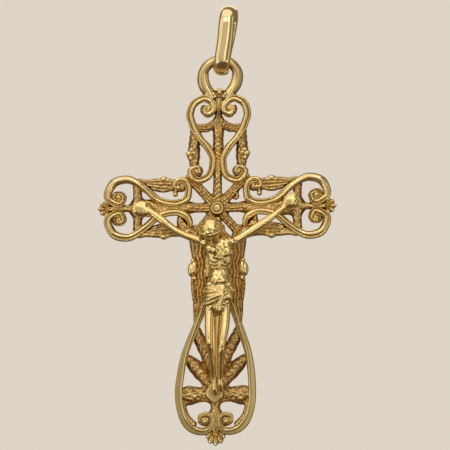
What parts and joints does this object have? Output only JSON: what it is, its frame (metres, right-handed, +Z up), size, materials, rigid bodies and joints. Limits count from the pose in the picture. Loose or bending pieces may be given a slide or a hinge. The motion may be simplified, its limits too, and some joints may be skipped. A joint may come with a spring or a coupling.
{
  "type": "crucifix pendant",
  "caption": "Pierced cast-gold cross of scrolls and leaves with a rosette, a riveted figure and a folded bail for a chain.",
  "frame": {"origin": "The inside top of the bail, where a chain or cord passes and the pendant hangs.", "axes": "+Z is up along the hanging pendant, -Y is towards the viewer and +X is to the viewer's right. The cross's flat back is parallel to XZ."},
  "size_m": [0.025, 0.0055, 0.0462],
  "materials": {
    "polished_gold": null,
    "cast_gold": "cast yellow gold, polished on the scrolls and matte brown-gold in the leaves and hollows",
    "bright_gold": "bright polished pale yellow gold"
  },
  "bodies": {
    "hanger": {"bail": "polished_gold"},
    "pendant": {"cross": "cast_gold", "corpus": "bright_gold", "hand_rivet_left": "polished_gold", "hand_rivet_right": "polished_gold", "foot_rivet": "polished_gold"}
  },
  "joints": [
    {"name": "bail_swing", "type": "hinge", "parent": "hanger", "child": "pendant", "pos_m": [-0.00054, 0, -0.00442], "axis": [0.9888, -0.0872, -0.1214], "range_deg": [-90, 90]}
  ]
}
